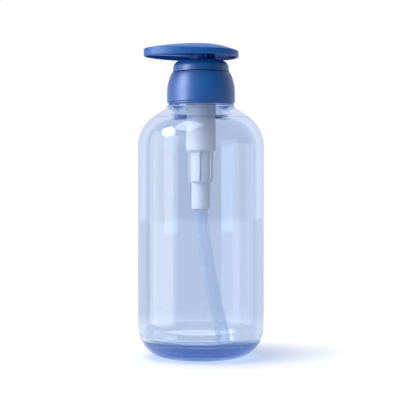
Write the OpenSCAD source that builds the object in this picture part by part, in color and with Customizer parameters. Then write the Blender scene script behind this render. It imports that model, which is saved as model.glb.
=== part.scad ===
// Lotion pump bottle: a thick-walled tinted clear bottle with a screw closure
// and a lock-down lotion pump. Millimetres, +Z up, origin on the bottle's axis
// at the surface it stands on. The spout points along -X.

/* [Bottle] */
// Outside diameter of the body
body_d = 68; // [64:1:74]
// Height where the straight wall ends and the rounded shoulder starts
shoulder_start = 114; // [100:1:140]
// Radius of the shoulder in section
shoulder_r = 19.5; // [17:0.5:21]
// Slope of the cone between the shoulder and the neck, in degrees
shoulder_slope = 34; // [30:1:40]
// Thickness of the wall
wall = 4.05; // [3:0.05:4.5]
// Thickness of the base at the middle
base_t = 9; // [5:0.1:11]
// Radius of the outside corner between the wall and the base
base_corner = 17; // [14:0.5:20]
// Radius of the inside corner between the wall and the base
base_inner_corner = 4; // [3:0.1:10]
// Radius of the hollow under the base
pushup_r = 12; // [8:0.5:13]
// Depth of the hollow under the base
pushup_depth = 0.8; // [0.4:0.1:1.5]
// Radius of the moulding mark in the middle of the hollow under the base
gate_mark_r = 4.6; // [2:0.1:6]
// Depth of the moulding mark
gate_mark_depth = 0.5; // [0.3:0.1:0.8]

/* [Neck] */
// Radius of the ledge under the closure
neck_ledge_r = 18.2; // [17.8:0.1:18.8]
// Height of the ledge's rim
neck_ledge_h = 1.1; // [0.6:0.1:2]
// Radius of the plain land above the ledge
neck_land_r = 16.6; // [16.3:0.1:16.7]
// Height of the plain land
neck_land_h = 2.5; // [1.5:0.1:3]
// Radius of the neck at the root of its thread
neck_root_r = 15.2; // [14.9:0.05:15.3]
// Radius of the neck at the crest of its thread
neck_crest_r = 16.2; // [16:0.05:16.3]
// Height of the neck above the ledge
neck_h = 12.5; // [12:0.5:14]
// Radius of the bore through the neck
neck_bore_r = 13.65; // [12.5:0.05:13.8]
// Rise of the thread in one turn
thread_pitch = 4.23; // [4:0.01:4.5]
// Turns that the thread makes round the neck
thread_turns = 1.5; // [1:0.25:1.75]
// Turns that the thread makes inside the closure
closure_thread_turns = 1.25; // [1:0.25:1.5]

/* [Closure] */
// Outside radius of the closure's straight part
closure_r = 18.3; // [18:0.1:19]
// Radius of the lip that reaches down inside the gap under the closure
closure_lip_r = 17.6; // [17.3:0.1:17.8]
// Gap between the closure's lip and the neck's ledge
closure_lip_gap = 0.3; // [0.2:0.1:0.5]
// Height of the closure's straight part
closure_straight_h = 5.6; // [4:0.1:8]
// Outside radius of the closure at its top edge
closure_top_r = 15.8; // [15.5:0.1:16.5]
// Thickness of the closure's top plate
closure_plate_t = 2.1; // [1.6:0.1:2.6]
// Gap between the bottle's ledge and the closure
closure_gap = 1.3; // [0.8:0.1:2]
// Width of the bevel round the closure's bottom edge
closure_bevel = 0.45; // [0.2:0.05:0.6]

/* [Lock ring] */
// Outside radius of the dome at its bottom edge
dome_r = 15.3; // [15:0.1:15.6]
// Inward lean of the dome's side
dome_lean = 0.3; // [0.1:0.1:0.6]
// Radius of the dome's rounded shoulder in section
dome_round = 4; // [3:0.1:4.2]
// Height of the dome
dome_h = 6.2; // [6:0.1:7]
// Wall of the dome
dome_wall = 1.5; // [1.2:0.1:1.8]
// Bore of the guide sleeve
guide_bore_r = 6.3; // [6.2:0.05:6.35]
// Wall of the guide sleeve
guide_wall = 0.85; // [0.7:0.05:0.9]
// Length of the guide sleeve below the dome's top
guide_len = 30.5; // [29:0.5:32]
// Height of the ledge in the dome's mouth that the lock lugs turn under
lock_ledge_h = 3; // [2:0.1:3.5]

/* [Pump housing] */
// Bore of the wide cylinder
pump_bore_r = 7.3; // [7.25:0.05:7.5]
// Wall of the wide cylinder
pump_wall = 0.8; // [0.7:0.05:1]
// Length of the wide cylinder below the flange
pump_len = 39; // [38:0.5:42]
// Outside radius of the ribbed valve section
valve_r = 6.3; // [6.1:0.1:6.5]
// Bore of the ribbed valve section
valve_bore_r = 5.3; // [5.2:0.05:5.4]
// Length of the ribbed valve section
valve_len = 17; // [16:0.5:20]
// Reach of the ribs from the axis
rib_r = 7; // [6.8:0.1:7.3]
// Thickness of each rib
rib_t = 0.9; // [0.6:0.1:1.2]
// Number of ribs
rib_count = 6; // [4:1:8]
// Outside radius of the tail that holds the dip tube
tail_r = 5.05; // [4.9:0.05:5.4]
// Length of the tail
tail_len = 13.6; // [13:0.2:18]
// Depth to which the dip tube is pushed into the tail
tube_grip = 10.2; // [8:0.2:11]
// Radius of the flange that rests on the neck
flange_r = 15; // [14.6:0.1:15.1]
// Thickness of the flange
flange_t = 1.6; // [1.2:0.1:2]
// Thickness of the gasket under the flange
gasket_t = 1.2; // [0.8:0.1:1.6]
// Radius of the air vent through the cylinder's wall
vent_r = 0.4; // [0.3:0.05:0.5]

/* [Dip tube] */
// Outside radius of the dip tube
tube_r = 3.75; // [3.4:0.05:3.9]
// Wall of the dip tube
tube_wall = 1; // [0.7:0.05:1.2]
// Radius of the bend just below the tail
bend_1_r = 105; // [90:5:140]
// Angle of that bend in degrees
bend_1_angle = 9; // [7:0.5:10]
// Radius of the long gentle bend below it
bend_2_r = 490; // [440:10:600]
// Gap between the tube's end and the bottle's floor
tube_floor_gap = 0.8; // [0.5:0.1:2]

/* [Valves and spring] */
// Radius of the inlet ball
inlet_ball_r = 2.4; // [2.3:0.05:2.5]
// Radius of the outlet ball
outlet_ball_r = 2; // [1.9:0.05:2.05]
// Height that the inlet ball can rise inside its cage
inlet_ball_lift = 1.6; // [1:0.1:2]
// Thickness of the cage's flange, which the spring stands on
cage_flange_t = 1.5; // [1.2:0.1:2]
// Diameter of the spring's wire
wire_d = 0.8; // [0.6:0.05:0.9]
// Mean radius of the spring's coils
coil_r = 4.15; // [4.1:0.05:4.3]
// Number of turns in the spring
coil_turns = 7; // [6:1:8]

/* [Stem and piston] */
// Outside radius of the stem
stem_r = 3.4; // [3.2:0.05:3.4]
// Bore of the stem
stem_bore_r = 1.6; // [1.4:0.05:1.7]
// Radius of the collar that pushes the piston down
collar_r = 4.4; // [4.2:0.1:4.6]
// Thickness of the collar
collar_t = 1.4; // [1:0.1:1.6]
// Height of the piston between plunger and collar
piston_hub_h = 4.1; // [3.8:0.1:4.5]
// Height of the piston's sealing skirt
piston_skirt_h = 5.5; // [5:0.1:5.5]
// Radius of the plunger's flange
plunger_r = 4.7; // [4.6:0.05:4.8]
// Thickness of the plunger's flange
plunger_t = 1.55; // [1.4:0.05:1.8]
// Height that the head rises when it is let up
stroke = 11; // [9:0.5:11]

/* [Head] */
// Radius of the head's round part
head_r = 20.3; // [19:0.1:22]
// Reach of the spout's tip from the axis
spout_reach = 31.2; // [29:0.1:33]
// Radius of the flanks between the round part and the tip
flank_r = 38.8; // [38:0.2:44]
// Radius of the gently bowed face at the tip
tip_r = 14; // [10:1:30]
// Gap between the dome and the head's rim
head_gap = 1.85; // [1.2:0.05:3]
// Height of the head's top above its rim
head_h = 7.45; // [7.2:0.05:8.5]
// Radius of the head's crown across the spout
crown_cross_r = 49.7; // [46:0.1:60]
// Radius of the head's crown along the spout
crown_long_r = 149; // [140:1:200]
// Wall of the head's rim
head_wall = 1.3; // [1.1:0.1:1.6]
// Thickness of the head's top
head_top_t = 1.6; // [1.4:0.1:2]
// Outside radius of the boss under the head
boss_r = 5.4; // [5.2:0.1:5.4]
// Length of the boss below the dome's top
boss_drop = 14.1; // [13:0.1:16]
// Width of the spout's channel bar
duct_w = 5; // [4:0.2:6]
// Radius of the outlet bore
outlet_r = 1; // [0.8:0.05:1.1]
// Height of the outlet above the rim
outlet_h = 2.55; // [2.4:0.05:2.8]
// Width of the oval mouth round the outlet
outlet_mouth_w = 5; // [4:0.1:6]
// Height of the oval mouth
outlet_mouth_h = 2.3; // [2.2:0.1:2.6]
// Depth of the oval mouth
outlet_mouth_depth = 0.9; // [0.6:0.1:1.1]
// Reach of the stiffening webs from the axis
web_r = 7.8; // [7:0.1:9]
// Thickness of each web
web_t = 0.8; // [0.6:0.1:1]
// Angle between the webs
web_step = 20; // [20:10:40]

/* [Fits] */
// Radial gap between the neck's thread crest and the closure
thread_gap = 0.25; // [0.2:0.05:0.4]
// Gap between parts that turn or slide past each other
run_gap = 0.3; // [0.25:0.05:0.35]
// Gap between flat faces that turn against each other
face_gap = 0.1; // [0.05:0.05:0.15]
// Radial gap between the piston and what it slides on
seal_gap = 0.06; // [0.03:0.01:0.08]
// Gap between parts that are pushed together for good
push_gap = 0.02; // [0.01:0.01:0.04]

/* [Hidden] */
$fn = 96;
cut = 1;

// Derived sizes are kept to hundredths, so that shared edges meet exactly
function hundredth(size) = round(size * 100) / 100;

// Bottle: the shoulder's arc ends where the cone's slope begins, a hair inside it
arc_overlap = 0.02;
arc_run_on = 2;
body_r = body_d / 2;
foot_r = body_r - base_corner;
inner_r = body_r - wall;
shoulder_centre = body_r - shoulder_r;
slope_turn = 90 - shoulder_slope;
cone_foot_r = hundredth(shoulder_centre + shoulder_r * cos(slope_turn)) - arc_overlap;
cone_foot_z = hundredth(shoulder_start + shoulder_r * sin(slope_turn));
cone_top_z = hundredth(cone_foot_z + (cone_foot_r - neck_ledge_r) * tan(shoulder_slope));
inner_shoulder_r = shoulder_r - wall;
inner_cone_foot_r = hundredth(shoulder_centre + inner_shoulder_r * cos(slope_turn)) - arc_overlap;
inner_cone_foot_z = hundredth(shoulder_start + inner_shoulder_r * sin(slope_turn));
inner_cone_top_z = hundredth(inner_cone_foot_z
    + (inner_cone_foot_r - neck_bore_r) * tan(shoulder_slope));
pushup_sphere_r = (pushup_r * pushup_r + pushup_depth * pushup_depth) / (2 * pushup_depth);

// Heights of the neck and of what stands on it
ledge_z = cone_top_z + neck_ledge_h;
land_top_z = ledge_z + neck_land_h;
neck_top_z = ledge_z + neck_h;
flange_z = neck_top_z + gasket_t;
flange_top_z = flange_z + flange_t;
closure_z = ledge_z + closure_gap;
closure_lip_z = ledge_z + closure_lip_gap;
plate_z = flange_top_z + face_gap;
closure_top_z = plate_z + closure_plate_t;
dome_z = closure_top_z + run_gap;
dome_top_z = dome_z + dome_h;
rim_z = dome_top_z + head_gap;
crown_z = rim_z + head_h;

// Thread: both sides share one helix, half a pitch apart
thread_root_half = 1.1;
thread_crest_half = 0.45;
thread_sink = 0.3;
thread_steps_per_turn = 36;
thread_lead_in = 4;
thread_clear = 0.6;
thread_z = land_top_z + thread_root_half + thread_clear;
closure_bore_r = neck_crest_r + thread_gap;
closure_crest_r = neck_root_r + thread_gap;
closure_mouth_r = neck_land_r + run_gap;
closure_mouth_h = land_top_z - closure_z + run_gap;
closure_head_r = neck_root_r + run_gap;
closure_head_z = hundredth(thread_z + thread_pitch * thread_turns + thread_crest_half + run_gap);
closure_thread_z = thread_z - thread_pitch / 2;
closure_thread_low = closure_z + closure_mouth_h + thread_root_half + 0.1;
closure_thread_start = (closure_thread_low - closure_thread_z) / thread_pitch;
closure_curve_z = closure_z + closure_straight_h;
closure_curve_dr = closure_r - closure_top_r;
closure_curve_dz = closure_top_z - closure_curve_z;
closure_curve_r = hundredth((closure_curve_dr * closure_curve_dr + closure_curve_dz * closure_curve_dz)
    / (2 * closure_curve_dr));

// Lock ring: guide sleeve inside the cylinder, snap skirt outside the collar
guide_r = guide_bore_r + guide_wall;
guide_end_z = dome_top_z - guide_len;
guide_lip_t = 1.6;
guide_lip_r = stem_r + run_gap;
lock_bore_r = boss_r + run_gap;
lock_ledge_z = dome_top_z - lock_ledge_h;
lug_r = guide_bore_r - run_gap;
lug_h = 1.8;
lug_angle = 40;
notch_angle = 60;
notch_r = guide_bore_r + 0.1;
plate_under_z = dome_top_z - dome_wall;
pump_r = pump_bore_r + pump_wall;
housing_collar_t = 1.5;
housing_collar_r = pump_r + housing_collar_t;
collar_top_z = plate_under_z - run_gap;
snap_skirt_in_r = housing_collar_r + push_gap;
snap_skirt_t = 1.15;
snap_skirt_r = snap_skirt_in_r + snap_skirt_t;
snap_bead = 0.35;
snap_bead_h = 0.9;
snap_bead_z = collar_top_z - 1.6;
closure_hole_r = snap_skirt_r + run_gap;

// Pump housing, from the flange down
step_z = flange_z - pump_len;
pump_floor_t = 1.6;
pump_floor_z = step_z + pump_floor_t;
step_chamfer = pump_r - rib_r;
valve_end_z = step_z - valve_len;
rib_taper = rib_r - tail_r;
rib_root = 0.3;
rib_sink = 0.4;
rib_raise = 0.4;
rib_turn = 10;
tail_z = valve_end_z - tail_len;
tube_top_z = tail_z + tube_grip;
valve_seat_half = 45;
inlet_seat_lap = 0.1;
inlet_bore_r = hundredth(inlet_ball_r * cos(valve_seat_half)) - inlet_seat_lap;
inlet_chamber_gap = 0.7;
inlet_chamber_r = inlet_ball_r + inlet_chamber_gap;
inlet_passage = 2.2;
inlet_seat_z = tube_top_z + inlet_passage;
inlet_seat_top_z = hundredth(inlet_seat_z
    + (inlet_chamber_r - inlet_bore_r) / tan(valve_seat_half));
inlet_ball_z = hundredth(inlet_seat_z - inlet_bore_r / tan(valve_seat_half)
    + (inlet_ball_r + seal_gap) / sin(valve_seat_half));
cage_sink = 0.45;
cage_z = inlet_ball_z + inlet_ball_r - cage_sink;
cage_top_z = cage_z + cage_flange_t;
cage_cup_in_r = inlet_ball_r + run_gap;
cage_cup_t = 0.65;
cage_cup_r = cage_cup_in_r + cage_cup_t;
cage_roof_z = inlet_ball_z + inlet_ball_r + inlet_ball_lift;
cage_roof_t = 0.9;

// Stem, plunger and piston with the head down
stroke_spare = 0.2;
collar_top_rest_z = guide_end_z - stroke - stroke_spare;
stem_z = collar_top_rest_z - collar_t;
piston_z = stem_z - piston_hub_h + face_gap / 2;
plunger_top_z = stem_z - piston_hub_h - face_gap / 2;
plunger_z = plunger_top_z - plunger_t;
plunger_nose_r = coil_r - wire_d / 2 - run_gap;
plunger_nose_h = 1.5;
plunger_plug_t = 1;
plunger_plug_r = stem_bore_r + plunger_plug_t;
plunger_plug_h = 5;
plunger_bore_r = 1.2;
port_r = 0.6;
port_floor = 0.6;
stem_grip = 8;
boss_z = dome_top_z - boss_drop;
stem_top_z = boss_z + stem_grip;
outlet_chamber_gap = 0.4;
outlet_chamber_r = outlet_ball_r + outlet_chamber_gap;
outlet_seat_lap = 0.2;
outlet_seat_r = hundredth(outlet_ball_r * cos(valve_seat_half)) - outlet_seat_lap;
outlet_seat_depth = 5.5;
throat_h = 1.2;
outlet_seat_z = stem_top_z - outlet_seat_depth;
outlet_seat_top_z = hundredth(outlet_seat_z
    + (outlet_chamber_r - outlet_seat_r) / tan(valve_seat_half));
outlet_ball_z = hundredth(outlet_seat_z - outlet_seat_r / tan(valve_seat_half)
    + (outlet_ball_r + seal_gap) / sin(valve_seat_half));
piston_r = pump_bore_r - seal_gap;
piston_lip_wall = 0.95;
piston_lip_h = 1.2;
piston_waist = 0.35;
piston_skirt_z = pump_floor_z + run_gap;
piston_web_t = 1.8;
piston_web_z = piston_skirt_z + (piston_skirt_h - piston_web_t) / 2;
piston_hub_r = collar_r;

// Spring: coils nearly closed at both ends
spring_z = cage_top_z;
spring_len = plunger_z - spring_z;
coil_steps = 24;
coil_sides = 8;
closed_turn = 0.75;
closed_gap = 0.1;
closed_rise = (wire_d + closed_gap) * closed_turn;

// Dip tube: straight in the tail, a short bend, then a long one
tube_in_r = tube_r - tube_wall;
tube_end_z = base_t + tube_floor_gap;
bend_1_z = tail_z;
bend_1_end_x = bend_1_r * (1 - cos(bend_1_angle));
bend_1_end_z = bend_1_z - bend_1_r * sin(bend_1_angle);
bend_2_x = bend_1_end_x + bend_2_r * cos(bend_1_angle);
bend_2_z = bend_1_end_z + bend_2_r * sin(bend_1_angle);
bend_2_end_angle = asin((bend_2_z - tube_end_z - tube_r / 2) / bend_2_r);
bend_2_angle = bend_2_end_angle - bend_1_angle;
bend_1_steps = 4;
bend_2_steps = 8;
tube_sides = 20;

// Head
duct_raise = 0.75;
duct_z = rim_z + duct_raise;
outlet_z = rim_z + outlet_h;
channel_r = 1.2;
duct_end_x = spout_reach - head_wall / 2;
web_clear = 0.9;
web_sink = 0.5;
web_z = dome_top_z + web_clear;
boss_top_z = crown_z - head_top_t / 2;
web_top_z = boss_top_z - web_sink;
lug_z = lock_ledge_z - run_gap - lug_h;
lug_sink = 0.5;

BLUE = [0.13, 0.32, 0.62];
CLEAR = [0.62, 0.74, 0.92, 0.4];
NATURAL = [0.93, 0.94, 0.96];
STEEL = [0.72, 0.73, 0.75];

// A quarter disc in the half plane, its corner at the centre
module quarter_disc(r, centre, side_r = 1, side_z = 1) {
    intersection() {
        translate(centre) circle(r);
        translate([side_r > 0 ? centre[0] : centre[0] - r, side_z > 0 ? centre[1] : centre[1] - r])
            square(r);
    }
}

// A rectangle in the half plane between two radii and two heights
module band(r_in, r_out, z_low, z_high) {
    translate([r_in, z_low]) square([r_out - r_in, z_high - z_low]);
}

module ring(r_in, r_out, z_low, z_high) {
    rotate_extrude() band(r_in, r_out, z_low, z_high);
}

// A plain round hole or post on the axis
module post(r, z_low, z_high) {
    translate([0, 0, z_low]) cylinder(r = r, h = z_high - z_low);
}

// A thread ridge as one closed strip swept up a helix. The base is sunk into
// the wall that carries it, and the ridge fades out at both ends.
module thread_ridge(base_r, crest_r, helix_z, first_turn, turns) {
    steps = round(turns * thread_steps_per_turn);
    function fade(i) = max(0.15, min(1, i / thread_lead_in, (steps - i) / thread_lead_in));
    function ridge_section(i) = let (
        turn = first_turn + i / thread_steps_per_turn,
        a = 360 * turn,
        z = helix_z + thread_pitch * turn,
        tip = base_r + (crest_r - base_r) * fade(i)
    ) [
        [base_r * cos(a), base_r * sin(a), z - thread_root_half],
        [tip * cos(a), tip * sin(a), z - thread_crest_half],
        [tip * cos(a), tip * sin(a), z + thread_crest_half],
        [base_r * cos(a), base_r * sin(a), z + thread_root_half]
    ];
    outward = crest_r > base_r;
    strip = [for (i = [0 : steps - 1], k = [0 : 3]) let (n = (k + 1) % 4)
        outward ? [4 * i + k, 4 * i + n, 4 * i + 4 + n, 4 * i + 4 + k]
            : [4 * i + 4 + k, 4 * i + 4 + n, 4 * i + n, 4 * i + k]];
    ends = outward ? [[3, 2, 1, 0], [for (k = [0 : 3]) 4 * steps + k]]
        : [[0, 1, 2, 3], [for (k = [3 : -1 : 0]) 4 * steps + k]];
    polyhedron(
        points = [for (i = [0 : steps]) each ridge_section(i)], faces = concat(strip, ends), convexity = 4
    );
}

// Bottle: one blown and moulded piece, with its neck finish
module bottle_outline() {
    band(0, foot_r, 0, base_corner);
    quarter_disc(base_corner, [foot_r, base_corner], 1, -1);
    band(0, body_r, base_corner, shoulder_start);
    band(0, shoulder_centre, shoulder_start, cone_foot_z);
    intersection() {
        translate([shoulder_centre, shoulder_start]) circle(shoulder_r);
        band(shoulder_centre, body_r, shoulder_start, cone_foot_z + arc_run_on);
    }
    polygon([
        [0, cone_foot_z], [cone_foot_r, cone_foot_z], [neck_ledge_r, cone_top_z],
        [neck_ledge_r, ledge_z], [neck_land_r, ledge_z], [neck_land_r, land_top_z],
        [neck_root_r, land_top_z], [neck_root_r, neck_top_z], [0, neck_top_z]
    ]);
}

module bottle_hollow() {
    floor_r = inner_r - base_inner_corner;
    corner_z = base_t + base_inner_corner;
    band(0, floor_r, base_t, corner_z);
    quarter_disc(base_inner_corner, [floor_r, corner_z], 1, -1);
    band(0, inner_r, corner_z, shoulder_start);
    band(0, shoulder_centre, shoulder_start, inner_cone_foot_z);
    intersection() {
        translate([shoulder_centre, shoulder_start]) circle(inner_shoulder_r);
        band(shoulder_centre, inner_r, shoulder_start, inner_cone_foot_z + arc_run_on);
    }
    polygon([
        [0, inner_cone_foot_z], [inner_cone_foot_r, inner_cone_foot_z],
        [neck_bore_r, inner_cone_top_z], [neck_bore_r, neck_top_z + cut], [0, neck_top_z + cut]
    ]);
}

module bottle() {
    color(CLEAR) {
        rotate_extrude() difference() {
            bottle_outline();
            bottle_hollow();
            band(0, gate_mark_r, -cut, pushup_depth + gate_mark_depth);
            intersection() {
                translate([0, pushup_depth - pushup_sphere_r]) circle(pushup_sphere_r);
                band(0, pushup_r + cut, -cut, pushup_depth + cut);
            }
        }
        thread_ridge(neck_root_r - thread_sink, neck_crest_r, thread_z, 0, thread_turns);
    }
}

// Closure: turns freely between the housing's flange and the dome
module closure() {
    color(BLUE) {
        rotate_extrude() difference() {
            union() {
                polygon([
                    [0, closure_z], [closure_r - closure_bevel, closure_z],
                    [closure_r, closure_z + closure_bevel], [closure_r, closure_curve_z],
                    [0, closure_curve_z]
                ]);
                band(0, closure_lip_r, closure_lip_z, closure_z + cut);
                intersection() {
                    translate([closure_r - closure_curve_r, closure_curve_z]) circle(closure_curve_r);
                    band(0, closure_r, closure_curve_z, closure_top_z);
                }
            }
            band(0, closure_mouth_r, closure_lip_z - cut, closure_z + closure_mouth_h);
            band(0, closure_bore_r, closure_z, closure_head_z);
            band(0, closure_head_r, closure_z, plate_z);
            band(0, closure_hole_r, plate_z - cut, closure_top_z + cut);
        }
        thread_ridge(
            closure_bore_r + thread_sink, closure_crest_r, closure_thread_z, closure_thread_start,
            closure_thread_turns
        );
    }
}

// Gasket: seals the housing's flange on the bottle's neck
module neck_gasket() {
    color(NATURAL) ring(pump_r + push_gap, flange_r, neck_top_z, flange_z);
}

// Lock ring: dome, snap skirt and guide sleeve in one moulding
module dome_outline() {
    corner_z = dome_top_z - dome_round;
    corner_r = dome_r - dome_lean - dome_round;
    polygon([
        [0, dome_z], [dome_r, dome_z], [dome_r - dome_lean, corner_z], [0, corner_z]
    ]);
    band(0, corner_r, corner_z, dome_top_z);
    quarter_disc(dome_round, [corner_r, corner_z]);
}

module lock_notch() {
    rotate([0, 0, -notch_angle / 2]) rotate_extrude(angle = notch_angle)
        band(lock_bore_r - cut, notch_r, lock_ledge_z - cut, dome_top_z + cut);
}

module lock_ring() {
    dome_in_r = dome_r - dome_lean - dome_wall;
    color(BLUE) difference() {
        rotate_extrude() {
            difference() {
                union() {
                    dome_outline();
                    band(snap_skirt_in_r, snap_skirt_r, flange_top_z, plate_under_z);
                }
                band(0, snap_skirt_in_r, dome_z - cut, plate_under_z);
                band(snap_skirt_r, dome_in_r, dome_z - cut, plate_under_z - dome_wall);
                band(snap_skirt_in_r - cut, housing_collar_r + snap_bead + push_gap,
                    snap_bead_z - push_gap, snap_bead_z + snap_bead_h + push_gap);
                band(0, lock_bore_r, dome_z, dome_top_z + cut);
            }
            band(guide_bore_r, guide_r, guide_end_z, plate_under_z);
            band(lock_bore_r, guide_r, lock_ledge_z, plate_under_z);
            band(guide_lip_r, guide_r, guide_end_z, guide_end_z + guide_lip_t);
        }
        for (side = [90, 270]) rotate([0, 0, side]) lock_notch();
    }
}

// Pump housing: cylinder, ribbed valve section and tail in one moulding
module housing_outline() {
    band(0, housing_collar_r, flange_z, collar_top_z);
    band(0, housing_collar_r + snap_bead, snap_bead_z, snap_bead_z + snap_bead_h);
    band(0, flange_r, flange_z, flange_top_z);
    band(0, pump_r, step_z + step_chamfer, flange_z);
    polygon([
        [0, step_z], [pump_r - step_chamfer, step_z],
        [pump_r, step_z + step_chamfer], [0, step_z + step_chamfer]
    ]);
    band(0, valve_r, valve_end_z + rib_taper, step_z);
    polygon([
        [0, valve_end_z], [tail_r, valve_end_z], [valve_r, valve_end_z + valve_r - tail_r],
        [valve_r, valve_end_z + rib_taper], [0, valve_end_z + rib_taper]
    ]);
    band(0, tail_r, tail_z, valve_end_z);
}

module housing_hollow() {
    band(0, pump_bore_r, pump_floor_z, collar_top_z + cut);
    band(0, valve_bore_r, cage_z, pump_floor_z + cut);
    band(0, inlet_chamber_r, inlet_seat_top_z, cage_z + cut);
    polygon([
        [0, inlet_seat_z], [inlet_bore_r, inlet_seat_z],
        [inlet_chamber_r, inlet_seat_top_z], [0, inlet_seat_top_z]
    ]);
    band(0, inlet_bore_r, tube_top_z - cut, inlet_seat_z);
    band(0, tube_r + push_gap, tail_z - cut, tube_top_z);
}

module housing_rib() {
    root_r = valve_bore_r + rib_root;
    rib_low_z = valve_end_z + rib_raise;
    top_z = step_z + rib_sink;
    rotate([90, 0, 0]) linear_extrude(rib_t, center = true) polygon([
        [root_r, rib_low_z + rib_taper], [tail_r, rib_low_z],
        [rib_r, rib_low_z + rib_taper], [rib_r, top_z], [root_r, top_z]
    ]);
}

module pump_housing() {
    vent_z = piston_skirt_z + stroke + piston_skirt_h / 2;
    color(NATURAL) difference() {
        union() {
            rotate_extrude() difference() {
                housing_outline();
                housing_hollow();
            }
            for (i = [0 : rib_count - 1])
                rotate([0, 0, rib_turn + 360 * i / rib_count]) housing_rib();
        }
        translate([0, pump_bore_r - cut, vent_z]) rotate([-90, 0, 0])
            cylinder(r = vent_r, h = pump_wall + 2 * cut);
    }
}

// Dip tube: bends away from the spout and ends level, just off the floor. One
// soft extruded tube, so its wall is swept along the middle line.
function tube_middle(angle) = angle <= bend_1_angle
    ? [bend_1_r * (1 - cos(angle)), bend_1_z - bend_1_r * sin(angle)]
    : [bend_2_x - bend_2_r * cos(angle), bend_2_z - bend_2_r * sin(angle)];

module dip_tube() {
    angles = concat(
        [for (i = [0 : bend_1_steps]) bend_1_angle * i / bend_1_steps],
        [for (i = [1 : bend_2_steps]) bend_1_angle + bend_2_angle * i / bend_2_steps]
    );
    function tube_ring(r, middle, angle) = [for (k = [0 : tube_sides - 1])
        let (a = 360 * k / tube_sides, side = r * cos(a))
            [middle[0] + side * cos(angle), r * sin(a), middle[1] + side * sin(angle)]];
    function level_ring(r, middle, angle) = [for (point = tube_ring(r, middle, angle))
        [point[0] + (point[2] - tube_end_z) * tan(angle), point[1], tube_end_z]];
    function tube_skin(r) = [
        each tube_ring(r, [0, tube_top_z], 0),
        for (angle = angles) each tube_ring(r, tube_middle(angle), angle),
        each level_ring(r, tube_middle(bend_2_end_angle), bend_2_end_angle)
    ];
    rings = len(angles) + 2;
    inside = rings * tube_sides;
    last = inside - tube_sides;
    walls = [for (i = [0 : rings - 2], k = [0 : tube_sides - 1])
        let (n = (k + 1) % tube_sides, a = i * tube_sides, b = a + tube_sides)
            each [
                [a + k, a + n, b + n, b + k],
                [inside + b + k, inside + b + n, inside + a + n, inside + a + k]
            ]];
    ends = [for (k = [0 : tube_sides - 1]) let (n = (k + 1) % tube_sides)
        each [
            [n, k, inside + k, inside + n],
            [last + k, last + n, inside + last + n, inside + last + k]
        ]];
    color(NATURAL) polyhedron(
        points = concat(tube_skin(tube_r), tube_skin(tube_in_r)), faces = concat(walls, ends), convexity = 8
    );
}

// Inlet ball: lies loose on its seat
module inlet_ball() {
    color(STEEL) translate([0, 0, inlet_ball_z]) sphere(inlet_ball_r);
}

// Ball cage: keeps the ball over its seat, and the spring stands on its flange
module ball_cage() {
    window_w = 2.2;
    roof_web = 0.2;
    color(NATURAL) difference() {
        union() {
            post(valve_bore_r - push_gap, cage_z, cage_top_z);
            post(cage_cup_r, cage_z, cage_roof_z + cage_roof_t);
        }
        post(cage_cup_in_r, cage_z - cut, cage_roof_z);
        for (turn = [0, 60, 120]) rotate([0, 0, turn])
            translate([-cage_cup_r - cut, -window_w / 2, cage_top_z])
                cube([2 * (cage_cup_r + cut), window_w, cage_roof_z - cage_top_z - roof_web]);
    }
}

// Return spring: one wire, swept up its helix
module return_spring() {
    wire_r = wire_d / 2;
    rings = coil_turns * coil_steps;
    open_turns = coil_turns - 2 * closed_turn;
    open_rise = spring_len - wire_d - 2 * closed_rise;
    function rise(t) = t < closed_turn ? closed_rise * t / closed_turn
        : t > coil_turns - closed_turn ? closed_rise + open_rise
            + closed_rise * (t - coil_turns + closed_turn) / closed_turn
        : closed_rise + open_rise * (t - closed_turn) / open_turns;
    function wire_ring(i) = let (t = i / coil_steps, a = 360 * t, z = spring_z + wire_r + rise(t))
        [for (k = [0 : coil_sides - 1]) let (
            b = 360 * (k + 0.5) / coil_sides,
            r = coil_r + wire_r * cos(b)
        ) [r * cos(a), r * sin(a), z + wire_r * sin(b)]];
    skin = [for (i = [0 : rings - 1], k = [0 : coil_sides - 1]) let (n = (k + 1) % coil_sides)
        [coil_sides * i + k, coil_sides * i + n, coil_sides * (i + 1) + n, coil_sides * (i + 1) + k]];
    ends = [
        [for (k = [coil_sides - 1 : -1 : 0]) k],
        [for (k = [0 : coil_sides - 1]) coil_sides * rings + k]
    ];
    color(STEEL) polyhedron(
        points = [for (i = [0 : rings]) each wire_ring(i)], faces = concat(skin, ends), convexity = 8
    );
}

// Piston: two thin lips on the cylinder's wall, a hub round the plunger
module piston() {
    skirt_in_r = piston_r - piston_lip_wall;
    skirt_top_z = piston_skirt_z + piston_skirt_h;
    color(NATURAL) rotate_extrude() difference() {
        union() {
            band(skirt_in_r, piston_r, piston_skirt_z, skirt_top_z);
            band(piston_hub_r, piston_r - piston_waist, piston_web_z, piston_web_z + piston_web_t);
            band(stem_r + seal_gap, piston_hub_r, piston_z, stem_z - face_gap / 2);
        }
        band(
            piston_r - piston_waist, piston_r + cut,
            piston_skirt_z + piston_lip_h, skirt_top_z - piston_lip_h
        );
    }
}

// Plunger: closes the piston from below and plugs into the stem
module plunger() {
    port_z = plunger_top_z + port_r + port_floor;
    plug_top_z = stem_z + plunger_plug_h;
    color(NATURAL) difference() {
        union() {
            post(plunger_nose_r, plunger_z - plunger_nose_h, plunger_z);
            post(plunger_r, plunger_z, plunger_top_z);
            post(stem_r, plunger_top_z, stem_z);
            post(plunger_plug_r, stem_z, plug_top_z);
        }
        post(plunger_bore_r, port_z - port_r, plug_top_z + cut);
        for (turn = [0, 90]) rotate([0, 0, turn]) translate([-stem_r - cut, 0, port_z])
            rotate([0, 90, 0]) cylinder(r = port_r, h = 2 * (stem_r + cut));
    }
}

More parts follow.
